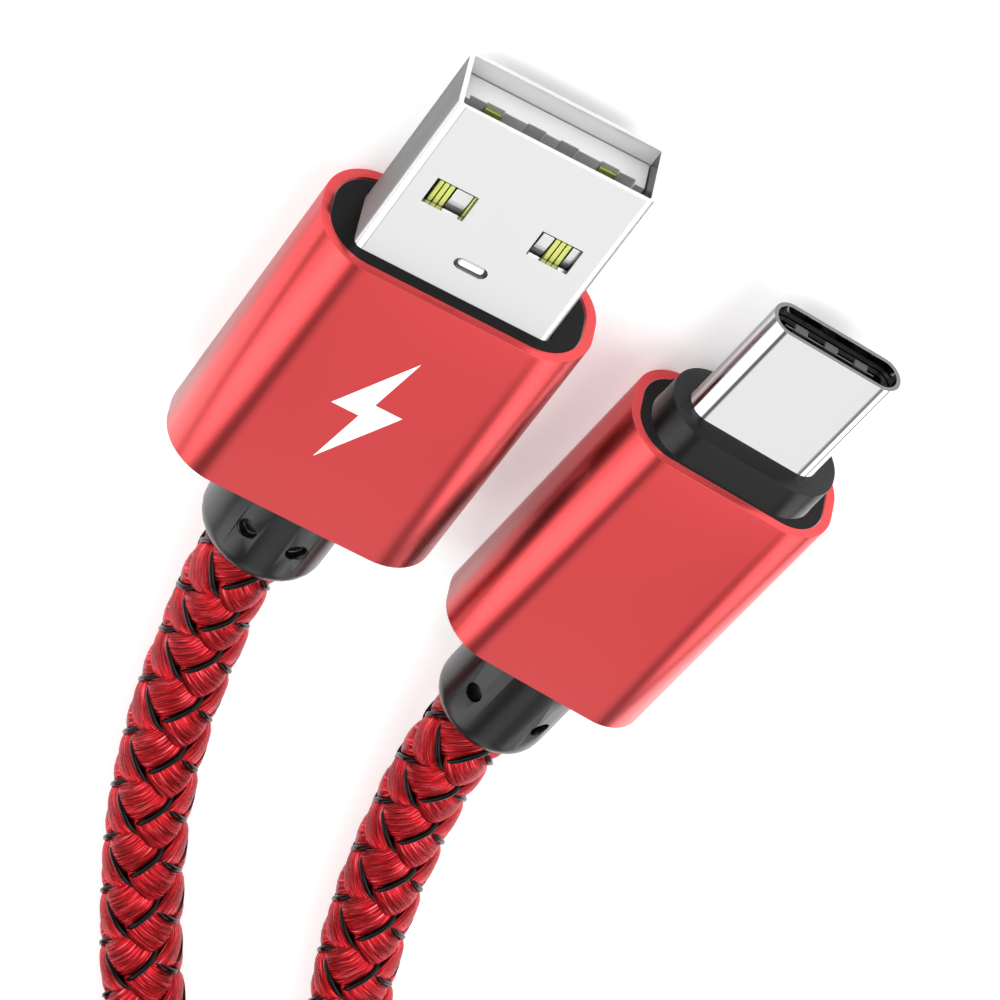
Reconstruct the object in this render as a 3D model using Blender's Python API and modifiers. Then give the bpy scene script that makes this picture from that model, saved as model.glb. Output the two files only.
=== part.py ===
"""A charging cable: a flat type-A plug and a small type-C plug on one braided cord.

Both plugs lie flat on the table, mouths towards -Y. Each plug is modelled about its own axis
and placed by an empty. The cord leaves both plugs, runs side by side, and is folded into a
tied hank. Dimensions are in millimetres and become metres in mm().
"""

from math import cos, pi, radians, sin

import bmesh
import bpy
from mathutils import Vector

GAP = 0.05  # running clearance between neighbouring pieces
BACK_WALL, HOUSING_EDGE = 1.5, 0.3

# Type-A plug. y runs from the mouth (negative) to the cord (positive), x across, z up.
A_WIDTH, A_HEIGHT, A_LENGTH, A_SIDE_RADIUS = 16.8, 7.8, 19.0, 3.4
A_WALL, A_NECK, A_INSERT_LENGTH = 0.6, 5.5, 3.0
A_SHELL_WIDTH, A_SHELL_HEIGHT, A_SHELL_WALL, A_SHELL_CORNER = 12.0, 4.5, 0.3, 0.5
A_SHELL_OUT, A_SHELL_IN = 12.0, 4.5
A_WINDOW = (2.5, 2.0)
A_WINDOW_X, A_WINDOW_BACK = 3.2, 6.2
A_SLOT = (2.0, 0.85)
A_SLOT_BACK = 9.9
A_TONGUE_THICK, A_TONGUE_SET_BACK, A_RAIL = 1.6, 1.2, (0.6, 0.35)
A_BASE_LONG = 5.8
A_CONTACTS = {"vbus": 3.5, "d_minus": 1.0, "d_plus": -1.0, "gnd": -3.5}
A_CONTACT_WIDTH, A_CONTACT_THICK, A_GROOVE = 1.0, 0.2, 0.12
A_CONTACT_SET_BACK, A_CONTACT_TAIL = {"outer": 1.5, "inner": 2.5}, 1.6
A_MOULD, A_MOULD_LENGTH, A_MOULD_SET_BACK = (13.0, 4.6), 3.6, 2.4
A_WIRE_SPREAD = 0.62
A_RELIEF_DIAMETER, A_RELIEF_OUT, A_RELIEF_BORE = 7.7, 6.0, 3.4
A_RELIEF_HOLES = (24, 2.4)  # angle from the top, and distance behind the housing

# Type-C plug, in its own axes.
C_PLACE, C_YAW = (-18.3, 3.6), -4.3
C_WIDTH, C_HEIGHT, C_LENGTH, C_SIDE_RADIUS = 13.2, 7.2, 19.4, 3.0
C_WALL, C_NECK, C_INSERT_LENGTH = 0.55, 5.2, 2.4
C_COLLAR_WIDTH, C_COLLAR_HEIGHT, C_COLLAR_OUT = 10.6, 5.4, 2.1
C_COLLAR_IN, C_COLLAR_EDGE = 3.0, 0.2
C_SHELL_WIDTH, C_SHELL_HEIGHT, C_SHELL_WALL = 8.25, 2.4, 0.25
C_SHELL_OUT, C_SHELL_IN = 8.2, 3.6
C_INSULATOR_SET_BACK = 0.8
C_SLOT_WIDTH, C_SLOT_HEIGHT = 6.7, 1.1
C_CONTACT_WIDTH, C_CONTACT_THICK, C_PITCH = 0.25, 0.12, 0.5
C_POSITIONS = {"1": -5.5, "4": -2.5, "5": -1.5, "6": -0.5, "7": 0.5, "9": 2.5, "12": 5.5}
C_USED = {"a": ("1", "4", "5", "6", "7", "9", "12"), "b": ("1", "4", "5", "9", "12")}
C_CONTACT_SET_BACK, C_CONTACT_TAIL = 1.8, 1.6
C_SPRING_WIDTH, C_SPRING_SPINE, C_SPRING_THICK, C_SPRING_PITCH = 5.8, 0.35, 0.1, 2.0
C_SPRING_PAD = (0.9, 1.2)
C_LATCH = (0.25, 0.7)
C_CARD, C_CARD_SET_BACK = (7.0, 7.9, 0.66), 0.8
C_RESISTOR, C_RESISTOR_PLACE = (1.0, 0.5, 0.35), (1.7, 4.25)
C_MOULD, C_MOULD_LENGTH, C_MOULD_SET_BACK = (10.4, 3.8), 2.8, 0.5
C_WIRE_STARTS, C_WIRE_SPREAD = (2.4, 0.8, -0.8, -2.4), 0.6
C_RELIEF_DIAMETER, C_RELIEF_OUT, C_RELIEF_BORE = 7.0, 7.0, 3.3
C_RELIEF_HOLES = (40, 3.4)

# Strain reliefs: a flange inside the housing, a rounded end, a seat for the cord, and holes.
RELIEF_FLANGE, RELIEF_FLANGE_GAP, RELIEF_END_RADIUS = 1.4, 0.1, 1.5
RELIEF_HOLE_DIAMETER, RELIEF_HOLE_DEPTH = 1.2, 0.6
CORD_SEAT, CORD_SEAT_GAP, CORD_CLEAR = 4.1, 0.2, 0.6

# Wires and cord.
WIRE_DIAMETER, WIRE_HOLE_GAP, WIRE_END_GAP = 0.9, 0.2, 0.1
WIRE_GATHER, WIRE_STRAIGHT, WIRE_STEP = 5.2, 0.7, 1.2
MOULD_CORNER = 0.8
WIRE_COLOURS = {
    "red": (0.6, 0.02, 0.02),
    "white": (0.8, 0.8, 0.8),
    "green": (0.03, 0.35, 0.08),
    "black": (0.02, 0.02, 0.02),
}
CORD_DIAMETER = 5.0
CORD_BORE = CORD_DIAMETER + 0.15
CORD_REST = CORD_DIAMETER / 2 + 0.05  # height of the cord's centre when it lies on the table

# The hank: an oval of cord beside and on itself, with one run that crosses over the top.
HANK_CENTRE = (-10.5, 112.75)
HANK_FOLD_RADIUS, HANK_TURNS_WIDE = 15.0, 2
HANK_HEIGHT = 14.6
HANK_STRAIGHT = 45.5
HANK_LIFT = 0.1
TIE_THICK, TIE_WIDTH, TIE_Y = 1.0, 11.0, 119.0
TIE_CORNER, TIE_INNER_CORNER, TIE_GROOVE_GAP = 1.8, 0.1, 0.3

# Where each lead runs on the table, from just outside its strain relief to the hank.
LEAD_A_ROUTE = [
    (-0.1, 18.4, 3.75),
    (-0.6, 21.8, 3.1),
    (-1.4, 25.6, 2.6),
    (-2.7, 31.9, CORD_REST),
    (-5.4, 40.7, CORD_REST),
    (-9.4, 49.8, CORD_REST),
    (-12.4, 55.4, CORD_REST),
    (-16.0, 61.3, CORD_REST),
    (-19.0, 66.3, CORD_REST),
]
LEAD_C_ROUTE = [
    (-17.0, 23.1, 3.5),
    (-17.3, 26.6, 2.9),
    (-18.0, 31.0, CORD_REST),
    (-19.2, 37.2, CORD_REST),
    (-20.8, 43.2, CORD_REST),
    (-22.8, 48.6, CORD_REST),
    (-25.3, 54.9, CORD_REST),
    (-27.9, 62.0, CORD_REST),
    (-29.6, 68.5, CORD_REST),
    (-30.2, 74.0, CORD_REST),
]


# ---------------------------------------------------------------- scene helpers


def clear_scene():
    for thing in list(bpy.data.objects):
        bpy.data.objects.remove(thing, do_unlink=True)


def new_collection(name, hidden=False):
    made = bpy.data.collections.new(name)
    made.hide_render = hidden
    bpy.context.scene.collection.children.link(made)
    return made


def mm(*values):
    return Vector(values) * 0.001


def material(name, colour, roughness, metallic=0.0):
    made = bpy.data.materials.get(name) or bpy.data.materials.new(name)
    made.use_nodes = True
    shader = made.node_tree.nodes["Principled BSDF"]
    shader.inputs["Base Color"].default_value = (*colour, 1)
    shader.inputs["Roughness"].default_value = roughness
    shader.inputs["Metallic"].default_value = metallic
    return made


def placed(name, data, paint, parent, group):
    thing = bpy.data.objects.new(name, data)
    group.objects.link(thing)
    thing.parent = parent
    if paint:
        data.materials.append(paint)
    else:
        thing.display_type = "WIRE"
        thing.hide_render = True
    return thing


def meshed(thing):
    """Turns a curve object into a mesh object, so that it can be cut."""
    name, paint, parent = thing.name, thing.active_material, thing.parent
    group, basis = thing.users_collection[0], thing.matrix_basis.copy()
    graph = bpy.context.evaluated_depsgraph_get()
    mesh = bpy.data.meshes.new_from_object(thing.evaluated_get(graph))
    bpy.data.objects.remove(thing, do_unlink=True)
    weld(mesh)
    made = placed(name, mesh, None, parent, group)
    made.matrix_basis = basis
    if paint:
        made.display_type = "TEXTURED"
        made.hide_render = False
        mesh.materials.clear()
        mesh.materials.append(paint)
    return made


def weld(mesh):
    work = bmesh.new()
    work.from_mesh(mesh)
    bmesh.ops.remove_doubles(work, verts=work.verts, dist=1e-6)
    bmesh.ops.recalc_face_normals(work, faces=work.faces)
    work.to_mesh(mesh)
    work.free()


# ---------------------------------------------------------------- outlines


def rounded_rectangle(width, height, radius, steps=5):
    """A rectangle about the origin with round corners."""
    points = []
    for turn in range(4):
        cx = (width / 2 - radius) * (1 if turn in (0, 3) else -1)
        cy = (height / 2 - radius) * (1 if turn in (0, 1) else -1)
        for k in range(steps + 1):
            angle = pi / 2 * (turn + k / steps)
            points.append((cx + radius * cos(angle), cy + radius * sin(angle)))
    return points


def ring(diameter, steps=12):
    return [
        (diameter / 2 * cos(2 * pi * k / steps), diameter / 2 * sin(2 * pi * k / steps))
        for k in range(steps)
    ]


def oval(radius, straight, steps=10):
    """A racetrack along Y: two half circles and the straights between them."""
    far = [(radius * cos(pi * k / steps), radius * sin(pi * k / steps)) for k in range(steps + 1)]
    near = [(-x, -y) for x, y in far]
    return [(x, y + straight / 2) for x, y in far] + [(x, y - straight / 2) for x, y in near]


def tongue_outline():
    """The type-A tongue in cross-section: a slab with a rail at each side and four grooves."""
    half = A_SHELL_WIDTH / 2 - A_SHELL_WALL - GAP
    rail_width, rail_height = A_RAIL
    bottom = -A_SHELL_HEIGHT / 2 + A_SHELL_WALL + GAP
    top = bottom + A_TONGUE_THICK
    points = [(-half, bottom), (half, bottom), (half, top + rail_height)]
    points += [(half - rail_width, top + rail_height), (half - rail_width, top)]
    groove = A_CONTACT_WIDTH / 2 + GAP
    for x in A_CONTACTS.values():
        points += [(x + groove, top), (x + groove, top - A_GROOVE)]
        points += [(x - groove, top - A_GROOVE), (x - groove, top)]
    points += [(rail_width - half, top), (rail_width - half, top + rail_height)]
    return points + [(-half, top + rail_height)]


# ---------------------------------------------------------------- solids


def flat_curve(name, loops, thickness, paint, parent, group):
    curve = bpy.data.curves.new(name, "CURVE")
    curve.dimensions = "2D"
    curve.fill_mode = "BOTH"
    curve.extrude = 0.001 * thickness / 2
    for loop in loops:
        spline = curve.splines.new("POLY")
        spline.points.add(len(loop) - 1)
        for point, (x, y) in zip(spline.points, loop):
            point.co = (*mm(x, y, 0), 1)
        spline.use_cyclic_u = True
    return placed(name, curve, paint, parent, group)


def extruded(name, loops, front, back, plug, paint=None, height=0.0, x=0.0):
    """An outline in the plug's x and z, run from y=front to y=back. Inner loops are holes."""
    group = parts if paint else cutters
    thing = flat_curve(name, loops, back - front, paint, plug, group)
    thing.rotation_euler.x = pi / 2
    thing.location = mm(x, (front + back) / 2, height)
    return meshed(thing)


def box(name, low, high, plug, paint=None):
    """A box between two corners."""
    outline = [(low[0], low[2]), (high[0], low[2]), (high[0], high[2]), (low[0], high[2])]
    return extruded(name, [outline], low[1], high[1], plug, paint)


def pin(name, diameter, front, back, plug, paint=None, x=0.0, height=0.0, steps=12):
    return extruded(name, [ring(diameter, steps)], front, back, plug, paint, height, x)


def turned(name, profile, plug, paint, steps=32):
    """A closed profile of (radius, y) spun about the plug's axis."""
    mesh = bpy.data.meshes.new(name)
    corners = [mm(radius, 0, -y) for radius, y in profile]
    edges = [(k, (k + 1) % len(corners)) for k in range(len(corners))]
    mesh.from_pydata(corners, edges, [])
    thing = placed(name, mesh, paint, plug, parts)
    thing.rotation_euler.x = pi / 2
    spin = thing.modifiers.new("Spin", "SCREW")
    spin.steps = spin.render_steps = steps
    spin.use_merge_vertices = True
    spin.merge_threshold = 0.00001
    return thing


def tube(name, route, diameter, plug, paint, sides=2):
    """A round wire through a list of points in millimetres."""
    curve = bpy.data.curves.new(name, "CURVE")
    curve.dimensions = "3D"
    curve.bevel_depth = 0.001 * diameter / 2
    curve.bevel_resolution = sides
    curve.use_fill_caps = True
    spline = curve.splines.new("POLY")
    spline.points.add(len(route) - 1)
    for point, place in zip(spline.points, route):
        point.co = (*mm(*place), 1)
    return placed(name, curve, paint, plug, parts)


def smooth_route(points, spacing):
    """Points a fixed distance apart on a Catmull-Rom curve through the given ones."""
    ways = [Vector(p) for p in points]
    ways = [2 * ways[0] - ways[1], *ways, 2 * ways[-1] - ways[-2]]
    fine = []
    for before, start, end, after in zip(ways, ways[1:], ways[2:], ways[3:]):
        for k in range(20):
            t = k / 20
            fine.append(
                0.5
                * (
                    2 * start
                    + (end - before) * t
                    + (2 * before - 5 * start + 4 * end - after) * t**2
                    + (3 * start - before - 3 * end + after) * t**3
                )
            )
    fine.append(ways[-2])
    length = sum((b - a).length for a, b in zip(fine, fine[1:]))
    count = max(2, round(length / spacing))
    even, walked, wanted = [fine[0]], 0.0, length / count
    for a, b in zip(fine, fine[1:]):
        walked += (b - a).length
        if walked >= wanted - 1e-6:
            even.append(b)
            wanted += length / count
    even[-1] = fine[-1]
    return even


def cut(thing, cutter):
    boolean = thing.modifiers.new(cutter.name, "BOOLEAN")
    boolean.operation = "DIFFERENCE"
    boolean.solver = "EXACT"
    boolean.object = cutter


def soften(thing, width, segments=2, angle=50):
    bevel = thing.modifiers.new("Soft edges", "BEVEL")
    bevel.width = 0.001 * width
    bevel.segments = segments
    bevel.limit_method = "ANGLE"
    bevel.angle_limit = radians(angle)


# ---------------------------------------------------------------- pieces both plugs have


def housing(prefix, width, height, length, radius, wall, neck, plug):
    """The anodised can: open at the front, with a hole for the strain relief at the back."""
    front, back = -length / 2, length / 2
    can = extruded(
        f"{prefix}_housing",
        [rounded_rectangle(width, height, radius, 14)],
        front,
        back,
        plug,
        RED_METAL,
    )
    soften(can, HOUSING_EDGE)
    inside = rounded_rectangle(width - 2 * wall, height - 2 * wall, radius - wall, 12)
    cut(can, extruded(f"{prefix}_cavity", [inside], front - 1, back - BACK_WALL, plug))
    cut(can, pin(f"{prefix}_neck_hole", neck, back - BACK_WALL - 1, back + 1, plug, steps=24))


def strain_relief(prefix, diameter, back, out, inside_height, neck, bore, holes, plug):
    """The moulded grommet: a flange inside the housing, a neck through it and a round body."""
    wall_front = back - BACK_WALL
    face, end, outer = back + GAP, back + out, diameter / 2
    flange = inside_height / 2 - RELIEF_FLANGE_GAP
    profile = [
        (bore / 2, wall_front - RELIEF_FLANGE),
        (flange, wall_front - RELIEF_FLANGE),
        (flange, wall_front - GAP),
        (neck / 2 - GAP, wall_front - GAP),
        (neck / 2 - GAP, face),
        (outer, face),
    ]
    for k in range(7):
        angle = pi / 2 * k / 6
        profile.append(
            (
                outer - RELIEF_END_RADIUS * (1 - cos(angle)),
                end - RELIEF_END_RADIUS * (1 - sin(angle)),
            )
        )
    seat = end - CORD_SEAT
    profile += [(CORD_BORE / 2, end), (CORD_BORE / 2, seat), (bore / 2, seat)]
    grommet = turned(f"{prefix}_strain_relief", profile, plug, BLACK_RUBBER)
    angle, distance = holes
    for k, turn in enumerate((angle, -angle, 180 - angle, 180 + angle)):
        name = f"{prefix}_relief_hole_{k + 1}"
        hole = pin(name, RELIEF_HOLE_DIAMETER, -RELIEF_HOLE_DEPTH, RELIEF_HOLE_DEPTH, plug)
        hole.rotation_euler = (0, radians(turn), 0)
        hole.location = mm(
            outer * sin(radians(turn)), back + distance, outer * cos(radians(turn))
        )
        cut(grommet, hole)


def wires(prefix, starts, start_y, straight_to, end_y, bore_half, plug):
    """Four insulated wires from the solder joints, brought together into the cord."""
    ends = [(bore_half, bore_half), (-bore_half, bore_half)]
    ends += [(bore_half, -bore_half), (-bore_half, -bore_half)]
    order = {"red": ends[0], "green": ends[1], "black": ends[3], "white": ends[2]}
    for (colour, paint), x in zip(WIRE_COLOURS.items(), starts):
        end_x, end_z = order[colour]
        close = end_y - WIRE_GATHER
        route = [(x, start_y, 0), (x, straight_to, 0), (x, straight_to + WIRE_STRAIGHT, 0)]
        route += [(end_x, close, end_z), (end_x, close + WIRE_STRAIGHT, end_z)]
        route.append((end_x, end_y, end_z))
        tube(
            f"{prefix}_wire_{colour}",
            smooth_route(route, WIRE_STEP),
            WIRE_DIAMETER,
            plug,
            material(f"{colour} insulation", paint, 0.45),
        )


def inner_mould(prefix, size, front, back, starts, plug):
    """The block moulded round the four wires behind the solder joints."""
    width, height = size
    block = extruded(
        f"{prefix}_inner_mould",
        [rounded_rectangle(width, height, MOULD_CORNER, 3)],
        front,
        back,
        plug,
        WHITE_PLASTIC,
    )
    bore = WIRE_DIAMETER + WIRE_HOLE_GAP
    for k, x in enumerate(starts):
        cut(block, pin(f"{prefix}_wire_hole_{k + 1}", bore, front - 1, back + 1, plug, x=x))


# ---------------------------------------------------------------- the type-A plug


def type_a_plug():
    plug = bpy.data.objects.new("type_a_plug", None)
    parts.objects.link(plug)
    plug.location = mm(0, 0, A_HEIGHT / 2)
    front, back = -A_LENGTH / 2, A_LENGTH / 2
    mouth, shell_back = front - A_SHELL_OUT, front + A_SHELL_IN
    inside_height = A_HEIGHT - 2 * A_WALL

    housing("type_a", A_WIDTH, A_HEIGHT, A_LENGTH, A_SIDE_RADIUS, A_WALL, A_NECK, plug)

    around = rounded_rectangle(
        A_WIDTH - 2 * A_WALL - 2 * GAP, inside_height - 2 * GAP, A_SIDE_RADIUS - A_WALL - GAP, 12
    )
    hole = rounded_rectangle(
        A_SHELL_WIDTH + 2 * GAP, A_SHELL_HEIGHT + 2 * GAP, A_SHELL_CORNER, 3
    )
    insert_back = front + A_INSERT_LENGTH
    extruded("type_a_front_insert", [around, hole], front + GAP, insert_back, plug, BLACK_PLASTIC)

    outer = rounded_rectangle(A_SHELL_WIDTH, A_SHELL_HEIGHT, A_SHELL_CORNER, 3)
    inner = rounded_rectangle(
        A_SHELL_WIDTH - 2 * A_SHELL_WALL, A_SHELL_HEIGHT - 2 * A_SHELL_WALL, 0.1, 2
    )
    shell = extruded("type_a_shell", [outer, inner], mouth, shell_back, plug, STEEL)
    window_y = mouth + A_WINDOW_BACK
    for side in (-1, 1):
        x = side * A_WINDOW_X
        low = (x - A_WINDOW[0] / 2, window_y - A_WINDOW[1] / 2, -A_SHELL_HEIGHT)
        high = (x + A_WINDOW[0] / 2, window_y + A_WINDOW[1] / 2, A_SHELL_HEIGHT)
        cut(shell, box(f"type_a_window_{'right' if side < 0 else 'left'}", low, high, plug))
    slot_outline = rounded_rectangle(*A_SLOT, A_SLOT[1] / 2 - 0.01, 5)
    slot = extruded("type_a_slot", [slot_outline], -1, 1, plug)
    slot.rotation_euler.x = 0
    slot.location = mm(0, mouth + A_SLOT_BACK, A_SHELL_HEIGHT / 2)
    cut(shell, slot)

    tongue_front = mouth + A_TONGUE_SET_BACK
    floor = -A_SHELL_HEIGHT / 2 + A_SHELL_WALL + GAP
    top = floor + A_TONGUE_THICK
    insulator_half = A_SHELL_WIDTH / 2 - A_SHELL_WALL - GAP
    base_front = shell_back - A_BASE_LONG
    insulator = extruded(
        "type_a_insulator", [tongue_outline()], tongue_front, shell_back, plug, PALE_PLASTIC
    )
    base = box(
        "type_a_base_block",
        (-insulator_half, base_front, floor),
        (insulator_half, shell_back, -floor),
        plug,
    )
    join = insulator.modifiers.new("Base block", "BOOLEAN")
    join.operation = "UNION"
    join.solver = "EXACT"
    join.object = base
    for name, x in A_CONTACTS.items():
        set_back = A_CONTACT_SET_BACK["outer" if abs(x) > 2 else "inner"]
        low = top - A_GROOVE + GAP / 2
        tunnel = box(
            f"type_a_tunnel_{name}",
            (x - A_CONTACT_WIDTH / 2 - GAP, base_front - 0.5, top - A_GROOVE),
            (x + A_CONTACT_WIDTH / 2 + GAP, shell_back + 0.5, low + A_CONTACT_THICK + GAP),
            plug,
        )
        cut(insulator, tunnel)
        box(
            f"type_a_contact_{name}",
            (x - A_CONTACT_WIDTH / 2, mouth + set_back, low),
            (x + A_CONTACT_WIDTH / 2, shell_back + A_CONTACT_TAIL, low + A_CONTACT_THICK),
            plug,
            GOLD,
        )

    starts = list(A_CONTACTS.values())
    mould_front = shell_back + A_MOULD_SET_BACK
    mould_back = mould_front + A_MOULD_LENGTH
    inner_mould("type_a", A_MOULD, mould_front, mould_back, starts, plug)
    wires(
        "type_a",
        starts,
        shell_back + A_CONTACT_TAIL + 3 * GAP,
        mould_back + WIRE_HOLE_GAP,
        back + A_RELIEF_OUT - CORD_SEAT - WIRE_END_GAP,
        A_WIRE_SPREAD,
        plug,
    )
    strain_relief(
        "type_a",
        A_RELIEF_DIAMETER,
        back,
        A_RELIEF_OUT,
        inside_height,
        A_NECK,
        A_RELIEF_BORE,
        A_RELIEF_HOLES,
        plug,
    )
    return plug


# ---------------------------------------------------------------- the type-C plug


def type_c_contacts(front, back, plug):
    """Twelve contact strips, seven on the upper row and five on the lower."""
    reach = C_SLOT_HEIGHT / 2 - GAP / 2
    for row, used in C_USED.items():
        for name in used:
            x = C_POSITIONS[name] * C_PITCH * (1 if row == "a" else -1)
            low = reach - C_CONTACT_THICK if row == "a" else -reach
            box(
                f"type_c_contact_{row}{name}",
                (x - C_CONTACT_WIDTH / 2, front, low),
                (x + C_CONTACT_WIDTH / 2, back, low + C_CONTACT_THICK),
                plug,
                GOLD,
            )


def ground_springs(front, plug):
    """A comb of three pads above and below the mouth, which touch the socket's tongue."""
    reach = C_SLOT_HEIGHT / 2 - GAP / 2
    half, spine = C_SPRING_WIDTH / 2, C_SPRING_SPINE
    pad_width, pad_end = C_SPRING_PAD
    for row, side in (("top", 1), ("bottom", -1)):
        outline = [(-half, 0.0), (half, 0.0), (half, spine)]
        for x in (C_SPRING_PITCH, 0.0, -C_SPRING_PITCH):
            left, right = x + pad_width / 2, x - pad_width / 2
            outline += [(left, spine), (left, pad_end), (right, pad_end), (right, spine)]
        outline.append((-half, spine))
        name = f"type_c_ground_spring_{row}"
        plate = flat_curve(name, [outline], C_SPRING_THICK, STEEL, plug, parts)
        plate.location = mm(0, front, side * (reach - C_SPRING_THICK / 2))
        meshed(plate)


def type_c_plug():
    plug = bpy.data.objects.new("type_c_plug", None)
    parts.objects.link(plug)
    plug.location = mm(*C_PLACE, C_HEIGHT / 2)
    plug.rotation_euler.z = radians(C_YAW)
    front, back = -C_LENGTH / 2, C_LENGTH / 2
    collar_front = front - C_COLLAR_OUT
    mouth = collar_front - C_SHELL_OUT
    inside_height = C_HEIGHT - 2 * C_WALL

    housing("type_c", C_WIDTH, C_HEIGHT, C_LENGTH, C_SIDE_RADIUS, C_WALL, C_NECK, plug)

    around = rounded_rectangle(
        C_WIDTH - 2 * C_WALL - 2 * GAP, inside_height - 2 * GAP, C_SIDE_RADIUS - C_WALL - GAP, 12
    )
    collar_radius = C_COLLAR_HEIGHT / 2 - 0.1
    hole = rounded_rectangle(
        C_COLLAR_WIDTH + 2 * GAP, C_COLLAR_HEIGHT + 2 * GAP, collar_radius + GAP, 12
    )
    insert_back = front + C_INSERT_LENGTH
    extruded("type_c_front_insert", [around, hole], front + GAP, insert_back, plug, BLACK_PLASTIC)

    collar = extruded(
        "type_c_collar",
        [rounded_rectangle(C_COLLAR_WIDTH, C_COLLAR_HEIGHT, collar_radius, 12)],
        collar_front,
        front + C_COLLAR_IN,
        plug,
        BLACK_PLASTIC,
    )
    soften(collar, C_COLLAR_EDGE)
    bore = rounded_rectangle(
        C_SHELL_WIDTH + 2 * GAP, C_SHELL_HEIGHT + 2 * GAP, C_SHELL_HEIGHT / 2 + GAP - 0.01, 12
    )
    bore_back = front + C_COLLAR_IN + 1
    cut(collar, extruded("type_c_collar_bore", [bore], collar_front - 1, bore_back, plug))

    outer = rounded_rectangle(C_SHELL_WIDTH, C_SHELL_HEIGHT, C_SHELL_HEIGHT / 2 - 0.01, 12)
    inner_height = C_SHELL_HEIGHT - 2 * C_SHELL_WALL
    inner_width = C_SHELL_WIDTH - 2 * C_SHELL_WALL
    inner = rounded_rectangle(inner_width, inner_height, inner_height / 2 - 0.01, 12)
    shell_back = front + C_SHELL_IN
    extruded("type_c_shell", [outer, inner], mouth, shell_back, plug, STEEL)

    lining_height = inner_height - 2 * GAP
    lining = rounded_rectangle(inner_width - 2 * GAP, lining_height, lining_height / 2 - 0.01, 8)
    slot = rounded_rectangle(C_SLOT_WIDTH, C_SLOT_HEIGHT, 0.2, 2)
    lining_front = mouth + C_INSULATOR_SET_BACK
    lining_back = shell_back - 1.0
    extruded("type_c_insulator", [lining, slot], lining_front, lining_back, plug, BLACK_PLASTIC)
    card_front = shell_back - C_CARD_SET_BACK
    type_c_contacts(lining_front + C_CONTACT_SET_BACK, card_front + C_CONTACT_TAIL, plug)
    ground_springs(lining_front + 2 * GAP, plug)
    latch_thick, latch_height = C_LATCH
    outer_x = C_SLOT_WIDTH / 2 - GAP
    for name, side in (("left", 1), ("right", -1)):
        low, high = sorted((side * (outer_x - latch_thick), side * outer_x))
        box(
            f"type_c_latch_{name}",
            (low, lining_front + 0.6, -latch_height / 2),
            (high, card_front - 0.2, latch_height / 2),
            plug,
            STEEL,
        )

    width, length, thick = C_CARD
    box(
        "type_c_paddle_card",
        (-width / 2, card_front, -thick / 2),
        (width / 2, card_front + length, thick / 2),
        plug,
        CARD_GREEN,
    )
    along_x, along_y, tall = C_RESISTOR
    x, y = C_RESISTOR_PLACE
    y += card_front
    foot = thick / 2 + GAP
    low = (x - along_x / 2, y - along_y / 2, foot)
    high = (x + along_x / 2, y + along_y / 2, foot + tall)
    box("type_c_resistor", low, high, plug, BLACK_PLASTIC)

    card_back = card_front + length
    mould_front = card_back + C_MOULD_SET_BACK
    mould_back = mould_front + C_MOULD_LENGTH
    inner_mould("type_c", C_MOULD, mould_front, mould_back, C_WIRE_STARTS, plug)
    wires(
        "type_c",
        C_WIRE_STARTS,
        card_back + 2 * GAP,
        mould_back + WIRE_HOLE_GAP,
        back + C_RELIEF_OUT - CORD_SEAT - WIRE_END_GAP,
        C_WIRE_SPREAD,
        plug,
    )
    strain_relief(
        "type_c",
        C_RELIEF_DIAMETER,
        back,
        C_RELIEF_OUT,
        inside_height,
        C_NECK,
        C_RELIEF_BORE,
        C_RELIEF_HOLES,
        plug,
    )
    return plug


# ---------------------------------------------------------------- the cord


def cord_lead(name, plug, relief_end, route):
    """The cord from its seat in a strain relief, straight out at first, to the hank."""
    bpy.context.view_layer.update()
    ends = (relief_end + CORD_SEAT_GAP - CORD_SEAT, relief_end + CORD_CLEAR)
    seat, clear = (plug.matrix_world @ mm(0, y, 0) * 1000 for y in ends)
    points = smooth_route([seat, clear, *route], 2 * CORD_DIAMETER)
    tube(name, [seat, clear, *points[2:]], CORD_DIAMETER, None, BRAID, sides=3)


def hank_and_tie():
    """The folded length as one oval solid, cut back where a tie holds one side of it."""
    thickness = HANK_TURNS_WIDE * CORD_DIAMETER
    inner_radius = HANK_FOLD_RADIUS - CORD_DIAMETER / 2
    outer_radius = inner_radius + thickness
    loops = [oval(outer_radius, HANK_STRAIGHT), oval(inner_radius, HANK_STRAIGHT)]
    hank = flat_curve("cable_hank", loops, HANK_HEIGHT, BRAID, None, parts)
    hank.location = mm(*HANK_CENTRE, HANK_HEIGHT / 2 + HANK_LIFT)
    hank = meshed(hank)

    across = HANK_CENTRE[0] - inner_radius - thickness / 2
    strap = TIE_THICK + 2 * GAP
    low = HANK_LIFT + strap
    high = low + 2 * CORD_DIAMETER
    for name, bottom, top in (("under", -1.0, low), ("over", high, HANK_HEIGHT + 1)):
        edge = thickness / 2 + 1
        near, far = (TIE_Y + side * (TIE_WIDTH / 2 + TIE_GROOVE_GAP) for side in (-1, 1))
        groove = box(
            f"tie_groove_{name}", (across - edge, near, bottom), (across + edge, far, top), None
        )
        cut(hank, groove)
    hold = (thickness + 4 * GAP, high - low + 2 * GAP)
    inside = rounded_rectangle(*hold, TIE_INNER_CORNER, 2)
    outside = rounded_rectangle(
        hold[0] + 2 * TIE_THICK, hold[1] + 2 * TIE_THICK, TIE_CORNER, 4
    )
    ends = (TIE_Y + side * TIE_WIDTH / 2 for side in (-1, 1))
    middle = (low + high) / 2
    extruded("cable_tie", [outside, inside], *ends, None, BLACK_RUBBER, middle, across)


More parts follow.
